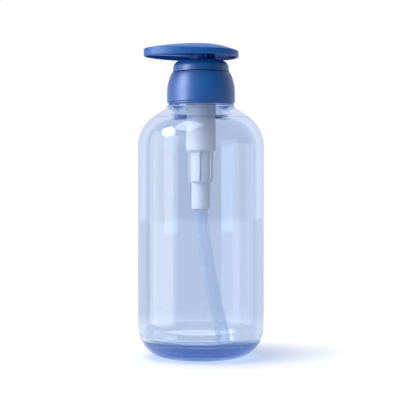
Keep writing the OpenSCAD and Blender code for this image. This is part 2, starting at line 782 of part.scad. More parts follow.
// Stem: hollow rod with the outlet ball's seat in its top
module stem() {
    socket_top_z = stem_z + plunger_plug_h + push_gap;
    throat_z = outlet_seat_z - throat_h;
    color(NATURAL) rotate_extrude() difference() {
        union() {
            band(0, stem_r, stem_z, stem_top_z);
            band(0, collar_r, stem_z, stem_z + collar_t);
        }
        band(0, plunger_plug_r + push_gap, stem_z - cut, socket_top_z);
        band(0, stem_bore_r, socket_top_z - cut, throat_z);
        band(0, outlet_seat_r, throat_z - cut, outlet_seat_z);
        polygon([
            [0, outlet_seat_z], [outlet_seat_r, outlet_seat_z],
            [outlet_chamber_r, outlet_seat_top_z], [0, outlet_seat_top_z]
        ]);
        band(0, outlet_chamber_r, outlet_seat_top_z, stem_top_z + cut);
    }
}

// Outlet ball: lies loose on its seat in the stem
module outlet_ball() {
    color(STEEL) translate([0, 0, outlet_ball_z]) sphere(outlet_ball_r);
}

// Plan of the head, drawn in by a margin: a disc that runs out into the spout
module head_plan(margin, side) {
    flank = flank_r - margin;
    offset_y = flank_r - head_r;
    reach = spout_reach - margin;
    if (side > 0) intersection() {
        circle(head_r - margin);
        translate([0, -head_r]) square([head_r, 2 * head_r]);
    }
    else intersection() {
        translate([0, offset_y]) circle(flank);
        translate([0, -offset_y]) circle(flank);
        union() {
            intersection() {
                translate([tip_r - spout_reach, 0]) circle(tip_r - margin);
                translate([-reach, -head_r]) square([tip_r - margin, 2 * head_r]);
            }
            translate([tip_r - spout_reach, -head_r]) square([spout_reach - tip_r, 2 * head_r]);
        }
    }
}

// The body under the crown, drawn in by a margin at the sides and at the top
module head_body(margin, top_margin, z_low) {
    cross_r = crown_cross_r - top_margin;
    intersection() {
        translate([0, 0, z_low]) linear_extrude(crown_z - z_low) head_plan(margin, 1);
        translate([0, 0, crown_z - crown_cross_r]) rotate([0, 90, 0]) sphere(cross_r);
    }
    intersection() {
        translate([0, 0, z_low]) linear_extrude(crown_z - z_low) head_plan(margin, -1);
        translate([0, 0, crown_z - crown_long_r]) rotate([90, 0, 0])
            rotate_extrude() translate([crown_long_r - crown_cross_r, 0]) circle(cross_r);
    }
}

module lock_lug() {
    rotate([0, 0, -lug_angle / 2]) rotate_extrude(angle = lug_angle)
        band(boss_r - lug_sink, lug_r, lug_z, lug_z + lug_h);
}

// Head: shell, spout channel, boss, webs and lock lugs in one moulding
module outlet_mouth() {
    corners = 20;
    polygon([for (corner = [0 : corners - 1])
        let (angle = 360 * corner / corners)
        [outlet_mouth_h / 2 * cos(angle), outlet_mouth_w / 2 * sin(angle)]
    ]);
}

module actuator_head() {
    duct_far_z = rim_z + head_h - spout_reach * spout_reach / (2 * crown_long_r) - head_top_t / 2;
    color(BLUE) difference() {
        union() {
            difference() {
                head_body(0, 0, rim_z);
                head_body(head_wall, head_top_t, rim_z - cut);
            }
            rotate([90, 0, 0]) linear_extrude(duct_w, center = true) polygon([
                [0, duct_z], [-duct_end_x, duct_z], [-duct_end_x, duct_far_z + 0.2], [0, boss_top_z]
            ]);
            for (turn = [-80 : web_step : 80]) rotate([0, 0, turn])
                translate([boss_r - cut, -web_t / 2, web_z])
                    cube([web_r - boss_r + cut, web_t, web_top_z - web_z]);
            post(boss_r, boss_z, boss_top_z);
            for (side = [90, 270]) rotate([0, 0, side]) lock_lug();
        }
        post(stem_r + push_gap, boss_z - cut, stem_top_z);
        post(channel_r, stem_top_z - cut, outlet_z);
        translate([-spout_reach - cut, 0, outlet_z]) rotate([0, 90, 0])
            cylinder(r = outlet_r, h = spout_reach + cut);
        translate([-spout_reach - cut, 0, outlet_z]) rotate([0, 90, 0])
            linear_extrude(outlet_mouth_depth + cut) outlet_mouth();
    }
}

bottle();
closure();
neck_gasket();
lock_ring();
pump_housing();
dip_tube();
inlet_ball();
ball_cage();
return_spring();
piston();
plunger();
stem();
outlet_ball();
actuator_head();
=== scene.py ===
# %% [markdown]
# # A tinted bottle with a lotion pump
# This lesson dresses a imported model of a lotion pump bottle: a thick clear bottle with
# a light blue tint, a blue screw closure with a dome, and a flat teardrop pump head.
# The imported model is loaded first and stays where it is. It is the frame that every
# new piece is fitted to, so all the sizes below are the real ones, in millimetres.

import math

import bmesh
import bpy
import numpy as np
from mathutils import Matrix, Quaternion, Vector


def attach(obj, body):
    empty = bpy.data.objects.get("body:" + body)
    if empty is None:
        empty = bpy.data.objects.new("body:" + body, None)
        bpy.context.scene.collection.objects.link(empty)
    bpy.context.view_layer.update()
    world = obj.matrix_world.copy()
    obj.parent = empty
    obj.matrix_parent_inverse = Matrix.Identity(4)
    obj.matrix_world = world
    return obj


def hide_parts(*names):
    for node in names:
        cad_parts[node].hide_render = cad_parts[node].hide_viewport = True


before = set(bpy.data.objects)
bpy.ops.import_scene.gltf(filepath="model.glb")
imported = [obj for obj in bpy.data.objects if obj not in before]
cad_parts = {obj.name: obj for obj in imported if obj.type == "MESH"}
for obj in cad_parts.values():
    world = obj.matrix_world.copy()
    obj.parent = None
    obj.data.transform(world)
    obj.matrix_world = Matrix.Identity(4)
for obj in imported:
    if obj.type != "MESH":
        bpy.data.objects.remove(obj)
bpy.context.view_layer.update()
mm = 0.001

# %% [markdown]
# ## Camera
# The bottle was photographed from its own middle height with a long lens, so its sides
# stay upright. Two things fix the distance: how strongly the closure's seam curves,
# and how far the far side of the base lies above the near side. The spout is turned
# a little towards the lens, which here means that the camera walks round by 12 degrees.

# %% Stand the camera in front of the bottle
photo_turn = math.radians(12)
photo_distance = 675 * mm
eye_height = 85 * mm
towards_camera = Vector((-math.sin(photo_turn), -math.cos(photo_turn), 0))
camera = bpy.data.objects.new("camera", bpy.data.cameras.new("camera"))
bpy.context.scene.collection.objects.link(camera)
camera.location = towards_camera * photo_distance + Vector((0, 0, eye_height))
camera.rotation_euler = (math.radians(90), 0, -photo_turn)
camera.data.lens = 112.5
camera.data.sensor_width = 36
camera.data.shift_x = -0.0025
camera.data.clip_end = 20
bpy.context.scene.camera = camera
print("camera at", [round(v, 3) for v in camera.location])

# %% [markdown]
# ## Light
# Small boxes close to the bottle draw the highlights: one on the left makes the long
# pale stripe down the wall, a weaker one on the right makes the second stripe, and a
# square one high on the left is the little diamond on the shoulder. None of these
# three lights anything matt. The main box, high in front on the left, throws the
# shadow back and to the right, and a weak one lower down fills in from the left. Both
# of these are seen in no gloss. The last box is flagged so that it shines on the blue
# pieces only: it draws the tall glow on the closure. Each box is placed by its bearing
# from the camera's direction and by its height above the horizon.

# %% Hang the soft boxes
def soft_box(name, bearing, climb, distance, width, height, radiance, lights,
             tint=(1, 1, 1), roll=0, middle=0.1):
    """A rectangular lamp that looks at the bottle. Bearing is left of the camera."""
    left = Vector((-math.cos(photo_turn), math.sin(photo_turn), 0))
    level = towards_camera * math.cos(math.radians(bearing)) + left * math.sin(math.radians(bearing))
    reach = level * math.cos(math.radians(climb)) + Vector((0, 0, math.sin(math.radians(climb))))
    data = bpy.data.lights.new(name, "AREA")
    data.shape = "RECTANGLE"
    data.size, data.size_y = width, height
    data.energy = radiance * math.pi * width * height
    data.color = tint
    lamp = bpy.data.objects.new(name, data)
    bpy.context.scene.collection.objects.link(lamp)
    lamp.location = reach * distance + Vector((0, 0, middle))
    facing = (-reach).to_track_quat("-Z", "Y") @ Quaternion((0, 0, 1), math.radians(roll))
    lamp.rotation_euler = facing.to_euler()
    lamp.visible_glossy = lights != "matt"
    lamp.visible_diffuse = lights != "shiny"
    print(name, "lights with", round(data.energy, 2), "W")
    return lamp


soft_box("left_stripe_box", 73, 0, 0.20, 0.19, 0.23, 2.3, "shiny", tint=(1, 0.90, 0.74), middle=0.116)
soft_box("right_stripe_box", -79, 0, 0.20, 0.17, 0.125, 0.9, "shiny", tint=(1, 0.88, 0.70), middle=0.064)
soft_box("diamond_box", 73, 36, 0.95, 0.34, 0.34, 12.0, "shiny", roll=45)
soft_box("main_box", 50, 66, 1.0, 0.6, 0.6, 7.0, "matt")
soft_box("left_fill_box", 60, 12, 0.9, 0.5, 0.5, 2.8, "matt")
cap_box = soft_box("cap_box", 64, 14, 0.8, 0.35, 0.5, 10.0, "shiny")
blue_pieces = bpy.data.collections.new("lit_by_the_cap_box")
cap_box.light_linking.receiver_collection = blue_pieces

# %% [markdown]
# The room is bright behind the bottle, where the backdrop is, and dim in front. The
# direction of each ray decides between the two, as in a real studio: the edges of the
# bottle mirror the backdrop and turn pale, and the closure keeps a dark right side.
# Where the camera looks straight at the room it is white. Matt surfaces get less than
# half of the room's light, so that the main box's shadow stays.

# %% Paint the room
def room_light(by_facing, to_matt):
    """A world whose brightness depends on how squarely a ray faces the backdrop."""
    world = bpy.data.worlds.new("studio")
    bpy.context.scene.world = world
    world.use_nodes = True
    nodes, links = world.node_tree.nodes, world.node_tree.links
    nodes.clear()
    place = nodes.new("ShaderNodeTexCoord")
    facing = nodes.new("ShaderNodeVectorMath")
    facing.operation = "DOT_PRODUCT"
    facing.inputs[1].default_value = -towards_camera
    links.new(place.outputs["Generated"], facing.inputs[0])
    shade = nodes.new("ShaderNodeFloatCurve")
    halfway = nodes.new("ShaderNodeMapRange")
    halfway.inputs["From Min"].default_value = -1.0
    links.new(facing.outputs["Value"], halfway.inputs["Value"])
    links.new(halfway.outputs["Result"], shade.inputs["Value"])
    curve = shade.mapping.curves[0]
    brightest = max(level for _, level in by_facing)
    for point, (turned_to, level) in zip(curve.points, (by_facing[0], by_facing[-1])):
        point.location = ((turned_to + 1) / 2, level / brightest)
    for turned_to, level in by_facing[1:-1]:
        curve.points.new((turned_to + 1) / 2, level / brightest)
    shade.mapping.update()
    scaled = nodes.new("ShaderNodeMath")
    scaled.operation = "MULTIPLY"
    scaled.inputs[1].default_value = brightest
    links.new(shade.outputs["Value"], scaled.inputs[0])
    path = nodes.new("ShaderNodeLightPath")
    sharp = nodes.new("ShaderNodeMath")
    sharp.operation = "MAXIMUM"
    links.new(path.outputs["Is Glossy Ray"], sharp.inputs[0])
    links.new(path.outputs["Is Transmission Ray"], sharp.inputs[1])
    share = nodes.new("ShaderNodeMapRange")
    share.inputs["To Min"].default_value = to_matt
    links.new(sharp.outputs["Value"], share.inputs["Value"])
    dimmed = nodes.new("ShaderNodeMath")
    dimmed.operation = "MULTIPLY"
    links.new(scaled.outputs["Value"], dimmed.inputs[0])
    links.new(share.outputs["Result"], dimmed.inputs[1])
    level = nodes.new("ShaderNodeMix")
    level.data_type = "FLOAT"
    links.new(path.outputs["Is Camera Ray"], level.inputs["Factor"])
    links.new(dimmed.outputs["Value"], level.inputs["A"])
    level.inputs["B"].default_value = 1.0
    background = nodes.new("ShaderNodeBackground")
    background.inputs["Color"].default_value = (1, 1, 1, 1)
    links.new(level.outputs["Result"], background.inputs["Strength"])
    out = nodes.new("ShaderNodeOutputWorld")
    links.new(background.outputs["Background"], out.inputs["Surface"])


room_light([
    (-1, 0.20), (-0.2, 0.22), (0.15, 0.45), (0.5, 1.0),
    (0.75, 1.04), (0.93, 0.96), (0.985, 0.88), (1, 0.87)
], to_matt=0.42)
bpy.context.scene.view_settings.view_transform = "Standard"
print("room painted, view transform", bpy.context.scene.view_settings.view_transform)

# %% [markdown]
# ## Floor
# The floor is white paper. Close to the bottle nearly all of its white comes from the
# lamps, and so carries the soft shadow. Further out more and more of it is added where
# it is seen, until the paper is as white as the room behind it and no horizon shows.
# Light that bounces off the paper onto matt pieces is left as it is.

# %% Roll out the floor
def paper(share_near, seen_through):
    """White paper: the share added near the bottle grows, and then the paper glows."""
    material = bpy.data.materials.new("white_paper")
    material.use_nodes = True
    nodes, links = material.node_tree.nodes, material.node_tree.links
    nodes.clear()
    lit = nodes.new("ShaderNodeBsdfDiffuse")
    lit.inputs["Color"].default_value = (0.94, 0.94, 0.94, 1)
    path = nodes.new("ShaderNodeLightPath")
    white = nodes.new("ShaderNodeMapRange")
    white.inputs["To Min"].default_value = seen_through
    links.new(path.outputs["Is Camera Ray"], white.inputs["Value"])
    glow = nodes.new("ShaderNodeEmission")
    links.new(white.outputs["Result"], glow.inputs["Strength"])
    near_glow = nodes.new("ShaderNodeEmission")
    place = nodes.new("ShaderNodeTexCoord")
    away = nodes.new("ShaderNodeVectorMath")
    away.operation = "LENGTH"
    links.new(place.outputs["Object"], away.inputs[0])
    # The glow that rises from 40 to 110 mm away from the bottle is painted light on the paper, which fades
    # the shadow out.
    lifted = nodes.new("ShaderNodeMapRange")
    lifted.inputs["From Min"].default_value = 40 * mm
    lifted.inputs["From Max"].default_value = 110 * mm
    lifted.inputs["To Min"].default_value, lifted.inputs["To Max"].default_value = share_near
    links.new(away.outputs["Value"], lifted.inputs["Value"])
    links.new(lifted.outputs["Result"], near_glow.inputs["Strength"])
    near = nodes.new("ShaderNodeAddShader")
    links.new(lit.outputs["BSDF"], near.inputs[0])
    links.new(near_glow.outputs["Emission"], near.inputs[1])
    far = nodes.new("ShaderNodeMapRange")
    far.interpolation_type = "SMOOTHSTEP"
    far.inputs["From Min"].default_value = 90 * mm
    far.inputs["From Max"].default_value = 320 * mm
    links.new(away.outputs["Value"], far.inputs["Value"])
    paper_seen = nodes.new("ShaderNodeMixShader")
    links.new(far.outputs["Result"], paper_seen.inputs["Fac"])
    links.new(near.outputs["Shader"], paper_seen.inputs[1])
    links.new(glow.outputs["Emission"], paper_seen.inputs[2])
    whole = nodes.new("ShaderNodeMixShader")
    links.new(path.outputs["Is Diffuse Ray"], whole.inputs["Fac"])
    links.new(paper_seen.outputs["Shader"], whole.inputs[1])
    links.new(lit.outputs["BSDF"], whole.inputs[2])
    out = nodes.new("ShaderNodeOutputMaterial")
    links.new(whole.outputs["Shader"], out.inputs["Surface"])
    return material


floor_half = 4.0
corner_signs = [(-1, -1), (1, -1), (1, 1), (-1, 1)]
floor_mesh = bpy.data.meshes.new("floor")
floor_mesh.from_pydata([(floor_half * x, floor_half * y, 0) for x, y in corner_signs], [], [(0, 1, 2, 3)])
floor = bpy.data.objects.new("floor", floor_mesh)
floor.data.materials.append(paper(share_near=(0.08, 0.5), seen_through=0.88))
bpy.context.scene.collection.objects.link(floor)

# %% [markdown]
# ## Plastics
# All of the pump is moulded, so each finish starts from the same shader and differs in
# colour, gloss and in how fine its surface texture is. The texture comes from noise in
# object space, in millimetres, and drives roughness and a very shallow bump. The head
# is a little more matt than the closure and the dome.

# %% Mix the moulded plastics
def noise_field(nodes, links, per_mm, detail=2.0):
    """Noise with about that many grains to the millimetre."""
    place = nodes.new("ShaderNodeTexCoord")
    noise = nodes.new("ShaderNodeTexNoise")
    noise.inputs["Scale"].default_value = per_mm / mm
    noise.inputs["Detail"].default_value = detail
    links.new(place.outputs["Object"], noise.inputs["Vector"])
    return noise.outputs["Fac"]


def spread(nodes, links, field, low, high):
    """Stretches a noise field between two values."""
    reach = nodes.new("ShaderNodeMapRange")
    reach.inputs["From Min"].default_value = 0.3
    reach.inputs["From Max"].default_value = 0.7
    reach.inputs["To Min"].default_value = low
    reach.inputs["To Max"].default_value = high
    links.new(field, reach.inputs["Value"])
    return reach.outputs["Result"]


def two_tones(nodes, links, field, dark, light):
    """Wanders between two close colours."""
    mix = nodes.new("ShaderNodeMix")
    mix.data_type = "RGBA"
    mix.inputs["A"].default_value = (*dark, 1)
    mix.inputs["B"].default_value = (*light, 1)
    links.new(field, mix.inputs["Factor"])
    return mix.outputs["Result"]


def moulded(name, dark, light, gloss, grain_per_mm, grain_depth, glow=0.0, shine=0.5):
    """A moulded plastic: gloss is (lowest, highest) roughness, depth in micrometres."""
    material = bpy.data.materials.new(name)
    material.use_nodes = True
    nodes, links = material.node_tree.nodes, material.node_tree.links
    body = nodes["Principled BSDF"]
    flow = noise_field(nodes, links, 0.06, 3)
    links.new(two_tones(nodes, links, flow, dark, light), body.inputs["Base Color"])
    links.new(spread(nodes, links, noise_field(nodes, links, 0.35), *gloss), body.inputs["Roughness"])
    bump = nodes.new("ShaderNodeBump")
    bump.inputs["Strength"].default_value = 1.0
    bump.inputs["Distance"].default_value = grain_depth * 1e-6
    links.new(noise_field(nodes, links, grain_per_mm), bump.inputs["Height"])
    links.new(bump.outputs["Normal"], body.inputs["Normal"])
    body.inputs["IOR"].default_value = 1.49
    body.inputs["Specular IOR Level"].default_value = shine
    if glow:
        body.inputs["Subsurface Weight"].default_value = glow
        body.inputs["Subsurface Radius"].default_value = (1.0, 1.0, 1.0)
        body.inputs["Subsurface Scale"].default_value = 1.2 * mm
    return material


deep_blue, lighter_blue = (0.006, 0.115, 0.44), (0.010, 0.130, 0.48)
satin_blue = moulded("satin_blue_plastic", deep_blue, lighter_blue, (0.36, 0.42), 1.2, 1.0, shine=0.6)
head_blue = moulded("head_blue_plastic", deep_blue, lighter_blue, (0.40, 0.46), 1.2, 1.0, shine=0.35)
natural_white = moulded(
    "natural_white_plastic", (0.80, 0.77, 0.77), (0.85, 0.82, 0.815), (0.28, 0.36), 1.5, 2, glow=0.2
)
foam_white = moulded("foam_gasket", (0.70, 0.72, 0.74), (0.80, 0.81, 0.82), (0.7, 0.9), 4, 60)
print("plastics:", satin_blue.name, natural_white.name, foam_white.name)

# %% [markdown]
# The bottle is a clear copolyester with a little blue in it. Part of the tint is a
# volume, which makes the thick base darker than the wall, and part of it is laid on
# the skin. For shadow rays the skin is plain see-through, darker at the base, so that
# light reaches the pump inside without noisy caustics. Light that has bounced twice
# inside the plastic is replaced by a steady blue glow, painted light that stands in
# for it, because it would otherwise be cut short and turn black. Four of these colours
# change with the height: the base, the wall, the ledge, where a dark blue band is
# painted on the skin as the closure's shade and reflection, and the neck inside the
# closure, where the glow is darker as painted shade.

# %% Mix the tinted clear plastic
def clear_tinted(name, skin_tint_and_ledge_shade, tint, per_metre, gloss, wave_height, shaded, trapped_glow_and_neck_shade):
    material = bpy.data.materials.new(name)
    material.use_nodes = True
    nodes, links = material.node_tree.nodes, material.node_tree.links
    nodes.clear()
    ramp_top = 150
    place = nodes.new("ShaderNodeTexCoord")
    apart = nodes.new("ShaderNodeSeparateXYZ")
    links.new(place.outputs["Object"], apart.inputs["Vector"])
    height = nodes.new("ShaderNodeMapRange")
    height.inputs["From Max"].default_value = ramp_top * mm
    links.new(apart.outputs["Z"], height.inputs["Value"])

    def by_height(stops):
        """A colour that changes between the given heights in millimetres."""
        ramp = nodes.new("ShaderNodeValToRGB")
        for _ in stops[2:]:
            ramp.color_ramp.elements.new(0.5)
        for stop, (z, colour) in zip(ramp.color_ramp.elements, stops):
            stop.position = z / ramp_top
            stop.color = (*colour, 1)
        links.new(height.outputs["Result"], ramp.inputs["Fac"])
        return ramp.outputs["Color"]

    skin = nodes.new("ShaderNodeBsdfPrincipled")
    # The skin's colour is the tint, with a dark blue band at the ledge painted as the closure's shade and
    # reflection.
    links.new(by_height(skin_tint_and_ledge_shade), skin.inputs["Base Color"])
    skin.inputs["Transmission Weight"].default_value = 1.0
    skin.inputs["IOR"].default_value = 1.5
    links.new(spread(nodes, links, noise_field(nodes, links, 0.2), *gloss), skin.inputs["Roughness"])
    bump = nodes.new("ShaderNodeBump")
    bump.inputs["Distance"].default_value = wave_height * 1e-6
    links.new(noise_field(nodes, links, 0.045, 1), bump.inputs["Height"])
    links.new(bump.outputs["Normal"], skin.inputs["Normal"])
    path = nodes.new("ShaderNodeLightPath")
    through = nodes.new("ShaderNodeBsdfTransparent")
    links.new(by_height(shaded), through.inputs["Color"])
    surface = nodes.new("ShaderNodeMixShader")
    links.new(path.outputs["Is Shadow Ray"], surface.inputs["Fac"])
    links.new(skin.outputs["BSDF"], surface.inputs[1])
    links.new(through.outputs["BSDF"], surface.inputs[2])
    late = nodes.new("ShaderNodeMath")
    late.operation = "GREATER_THAN"
    late.inputs[1].default_value = 1.5
    lens_only = nodes.new("ShaderNodeMath")
    lens_only.operation = "MULTIPLY_ADD"
    lens_only.inputs[1].default_value = -10
    links.new(path.outputs["Diffuse Depth"], lens_only.inputs[0])
    links.new(path.outputs["Glossy Depth"], lens_only.inputs[2])
    links.new(lens_only.outputs["Value"], late.inputs[0])
    # The steady blue is a painted glow that stands in for light trapped in the plastic; it is darker in the
    # neck as painted shade.
    caught = nodes.new("ShaderNodeEmission")
    links.new(by_height(trapped_glow_and_neck_shade), caught.inputs["Color"])
    whole = nodes.new("ShaderNodeMixShader")
    links.new(late.outputs["Value"], whole.inputs["Fac"])
    links.new(surface.outputs["Shader"], whole.inputs[1])
    links.new(caught.outputs["Emission"], whole.inputs[2])
    depth = nodes.new("ShaderNodeVolumeAbsorption")
    depth.inputs["Color"].default_value = (*tint, 1)
    depth.inputs["Density"].default_value = per_metre
    out = nodes.new("ShaderNodeOutputMaterial")
    links.new(whole.outputs["Shader"], out.inputs["Surface"])
    links.new(depth.outputs["Volume"], out.inputs["Volume"])
    return material


tinted_clear = clear_tinted(
    "tinted_clear_plastic", tint=(0.08, 0.38, 0.815), per_metre=30, gloss=(0.0, 0.01), wave_height=3,
    # From 135.1 to 136.0 mm the skin carries a painted band of the closure's shade and reflection on the
    # ledge.
    skin_tint_and_ledge_shade=[(134.9, (0.80, 0.86, 0.957)), (135.1, (0.10, 0.20, 0.50)),
               (136.0, (0.10, 0.20, 0.50)), (136.3, (0.80, 0.86, 0.957))],
    shaded=[(8, (0.62, 0.66, 0.76)), (14, (0.91, 0.92, 0.94))],
    # The trapped glow darkens above 134 mm: painted shade of the neck under the closure.
    trapped_glow_and_neck_shade=[(8, (0.29, 0.43, 0.53)), (14, (0.45, 0.58, 0.80)),
             (134, (0.50, 0.60, 0.80)), (137, (0.10, 0.20, 0.45))]
)
print("the bottle is finished in", tinted_clear.name)

# %% [markdown]
# ## Turned shapes
# Nearly every piece here is round, so one helper turns an outline about the bottle's
# axis. A corner can carry a radius, because a moulded edge is never sharp and the
# small rounding is what catches the light. Threads, ribs and notches are made by
# letting the radius change with the angle, which keeps each piece one closed skin.

# %% Helpers for outlines and turned skins
def arc(centre_r, centre_z, radius, start, end, steps):
    """Points on an arc, from start to end in degrees."""
    angles = np.radians(np.linspace(start, end, steps + 1))
    return [(centre_r + radius * math.cos(a), centre_z + radius * math.sin(a)) for a in angles]


def softened(corners, closed=False, turn=15):
    """An outline with rounded corners: (r, z) stays, (r, z, fillet) is rounded."""
    points = []
    count = len(corners)
    for i, corner in enumerate(corners):
        here = np.array(corner[:2], float)
        fillet = corner[2] if len(corner) > 2 else 0
        if not fillet or (not closed and i in (0, count - 1)):
            points.append(tuple(here))
            continue
        before = np.array(corners[i - 1][:2], float) - here
        after = np.array(corners[(i + 1) % count][:2], float) - here
        before /= np.linalg.norm(before)
        after /= np.linalg.norm(after)
        half_angle = math.acos(max(-1, min(1, before @ after))) / 2
        middle = (before + after) / np.linalg.norm(before + after)
        centre = here + middle * fillet / math.sin(half_angle)
        first = here + before * fillet / math.tan(half_angle) - centre
        last = here + after * fillet / math.tan(half_angle) - centre
        start = math.atan2(first[1], first[0])
        swing = (math.atan2(last[1], last[0]) - start + math.pi) % (2 * math.pi) - math.pi
        steps = max(2, round(abs(math.degrees(swing)) / turn))
        for k in range(steps + 1):
            a = start + swing * k / steps
            points.append((centre[0] + fillet * math.cos(a), centre[1] + fillet * math.sin(a)))
    return points


def close_skin(name, x, y, z, closed):
    """A mesh from rings of points, in millimetres. Open ends must sit on the axis."""
    rings, sides = x.shape
    corners = np.stack([x, y, z], axis=-1).reshape(-1, 3) * mm
    faces = []
    first, last = (0, rings) if closed else (1, rings - 2)
    for i in range(first, last):
        j = (i + 1) % rings
        for k in range(sides):
            right = (k + 1) % sides
            faces.append((i * sides + k, i * sides + right, j * sides + right, j * sides + k))
    if not closed:
        bottom, top = 0, (rings - 1) * sides
        faces += [(bottom, sides + (k + 1) % sides, sides + k) for k in range(sides)]
        faces += [(top, top - sides + k, top - sides + (k + 1) % sides) for k in range(sides)]
    mesh = bpy.data.meshes.new(name)
    mesh.from_pydata([tuple(c) for c in corners], [], faces)
    form = bmesh.new()
    form.from_mesh(mesh)
    bmesh.ops.delete(form, geom=[v for v in form.verts if not v.link_faces], context="VERTS")
    bmesh.ops.remove_doubles(form, verts=form.verts, dist=1e-7)
    bmesh.ops.recalc_face_normals(form, faces=form.faces)
    form.to_mesh(mesh)
    form.free()
    piece = bpy.data.objects.new(name, mesh)
    bpy.context.scene.collection.objects.link(piece)
    mesh.shade_smooth()
    even = piece.modifiers.new("flat_faces_stay_flat", "WEIGHTED_NORMAL")
    even.keep_sharp = True
    print(name, "has", len(mesh.polygons), "faces")
    return piece


def turned(name, outline, sides=192, reach=None, closed=True):
    """Turns an outline. reach(radius, height, angles) may change the radius with the angle."""
    angles = np.linspace(0, 2 * math.pi, sides, endpoint=False)
    rings = [np.full(sides, r) if reach is None or r == 0 else reach(r, z, angles) for r, z in outline]
    radii = np.array(rings)
    heights = np.array([np.full(sides, z) for _, z in outline])
    return close_skin(name, radii * np.cos(angles), radii * np.sin(angles), heights, closed)


def finish_piece(piece, material, body, slot, *nodes):
    """Gives a piece its finish, lets it ride on its body and stand for its CAD nodes."""
    piece.data.materials.append(material)
    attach(piece, body)
    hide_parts(*nodes)


# %% [markdown]
# The thread is a ridge that climbs one and a half turns round the neck. For each
# angle and height the helper below asks how far that spot is from the middle of the
# ridge, and lifts it to the crest when it is near. Both ends fade out, as the tool's
# run-out leaves them.

# %% Helper for the screw thread
pitch = 4.23


def ridge(height, angles, start_height, first_turn, turns, foot_half=0.95, crest_half=0.45):
    """How much of the thread stands at a height, from 0 to 1, for each angle."""
    lift = np.zeros_like(angles)
    for lap in range(4):
        turn = angles / (2 * math.pi) + lap
        along = turn - first_turn
        fade = np.clip(np.minimum(along, turns - along) * 9, 0, 1)
        gap = np.abs(height - start_height - pitch * turn)
        lift = np.maximum(lift, np.clip((foot_half - gap) / (foot_half - crest_half), 0, 1) * fade)
    return lift


def fine_rows(radius, low, high, step=0.2):
    """Rows close together, where a thread needs them."""
    count = max(1, round(abs(high - low) / step))
    return [(radius, low + (high - low) * k / count) for k in range(1, count)]


# %% [markdown]
# ## Bottle
# It is moulded in one piece: a wall of 4 mm, a floor of 9 mm with a shallow hollow
# under it, and a neck with a ledge below the closure. The small round mark in the
# middle of the hollow is where the plastic came into the mould. Both skins, outside
# and inside, belong to one closed mesh, because the light has to pass through the real
# thickness of plastic.

# %% Turn the bottle
gate_mark = [(0, 1.3)] + softened([(3, 1.3), (4.6, 1.3, 0.2), (4.6, 0.68, 0.15), (5.2, 0.65)])[1:]
hollow = arc(0, 0.8 - 90.4, 90.4, 86.7, 83.2, 3)
outside = (
    gate_mark + hollow[1:-1]
    + softened([(9.6, 0.29), (12, 0, 1.2), (14.4, 0)])[1:]
    + arc(17, 17, 17, -90, 0, 22)
    + fine_rows(34, 17, 114, 8)
    + arc(14.5, 114, 19.5, 0, 55, 18)
)
neck = softened([
    (25.40, 130.17), (18.2, 135.01, 1.6), (18.2, 136.11, 0.45), (16.6, 136.11, 0.3),
    (16.6, 138.61, 0.3), (15.2, 138.61, 0.3), (15.2, 139.1)
])
neck_top = softened([(15.2, 148.0), (15.2, 148.61, 0.4), (13.65, 148.61, 0.4), (13.65, 147.5)])
inside = (
    softened([(13.65, 147.5), (13.65, 133.2, 3), (23.12, 126.81)])[1:]
    + arc(14.5, 114, 15.45, 55, 0, 16)
    + fine_rows(29.95, 114, 13, 8)
    + arc(25.95, 13, 4, 0, -90, 16)
    + [(12, 9), (0, 9)]
)


def neck_thread(radius, height, angles):
    if abs(radius - 15.2) > 0.01 or height < 139.05:
        return np.full_like(angles, radius)
    return radius + ridge(height, angles, 140.31, 0, 1.5)


bottle = turned(
    "clear_bottle", outside + neck + fine_rows(15.2, 139.1, 148.0) + neck_top + inside,
    sides=256, reach=neck_thread, closed=False
)
finish_piece(bottle, tinted_clear, "bottle", "tinted_clear", "bottle")

# %% [markdown]
# ## Dip tube
# A soft extruded tube, pressed into the pump's tail. It bends away in a short curve
# and then a long one, and is cut level just above the floor. It is swept as a hollow
# tube with a real wall, because its edges show darker where the wall is seen end on.

# %% Mix the milky tube plastic
def milky(name, tone, edge_tone, gloss, haze):
    """Natural polyethylene: see-through in the middle, milky where it is seen edge on."""
    material = bpy.data.materials.new(name)
    material.use_nodes = True
    nodes, links = material.node_tree.nodes, material.node_tree.links
    body = nodes["Principled BSDF"]
    edge = nodes.new("ShaderNodeLayerWeight")
    edge.inputs["Blend"].default_value = 0.35
    links.new(two_tones(nodes, links, edge.outputs["Facing"], tone, edge_tone), body.inputs["Base Color"])
    links.new(spread(nodes, links, noise_field(nodes, links, 0.3), *gloss), body.inputs["Roughness"])
    clear = nodes.new("ShaderNodeBsdfTransparent")
    clear.inputs["Color"].default_value = (0.93, 0.95, 0.97, 1)
    share = nodes.new("ShaderNodeMapRange")
    share.inputs["To Min"].default_value, share.inputs["To Max"].default_value = haze
    links.new(edge.outputs["Facing"], share.inputs["Value"])
    surface = nodes.new("ShaderNodeMixShader")
    links.new(share.outputs["Result"], surface.inputs["Fac"])
    links.new(clear.outputs["BSDF"], surface.inputs[1])
    links.new(body.outputs["BSDF"], surface.inputs[2])
    links.new(surface.outputs["Shader"], nodes["Material Output"].inputs["Surface"])
    return material


milky_tube = milky("milky_tube_plastic", (0.92, 0.95, 0.98), (0.33, 0.47, 0.74), (0.12, 0.2), (0.05, 0.55))
print("the tube is finished in", milky_tube.name)


# %% [markdown]
# The tube's middle line starts straight in the pump's tail and follows the two bends,
# and rings of points are set square to it, outside and inside. The last ring is level.

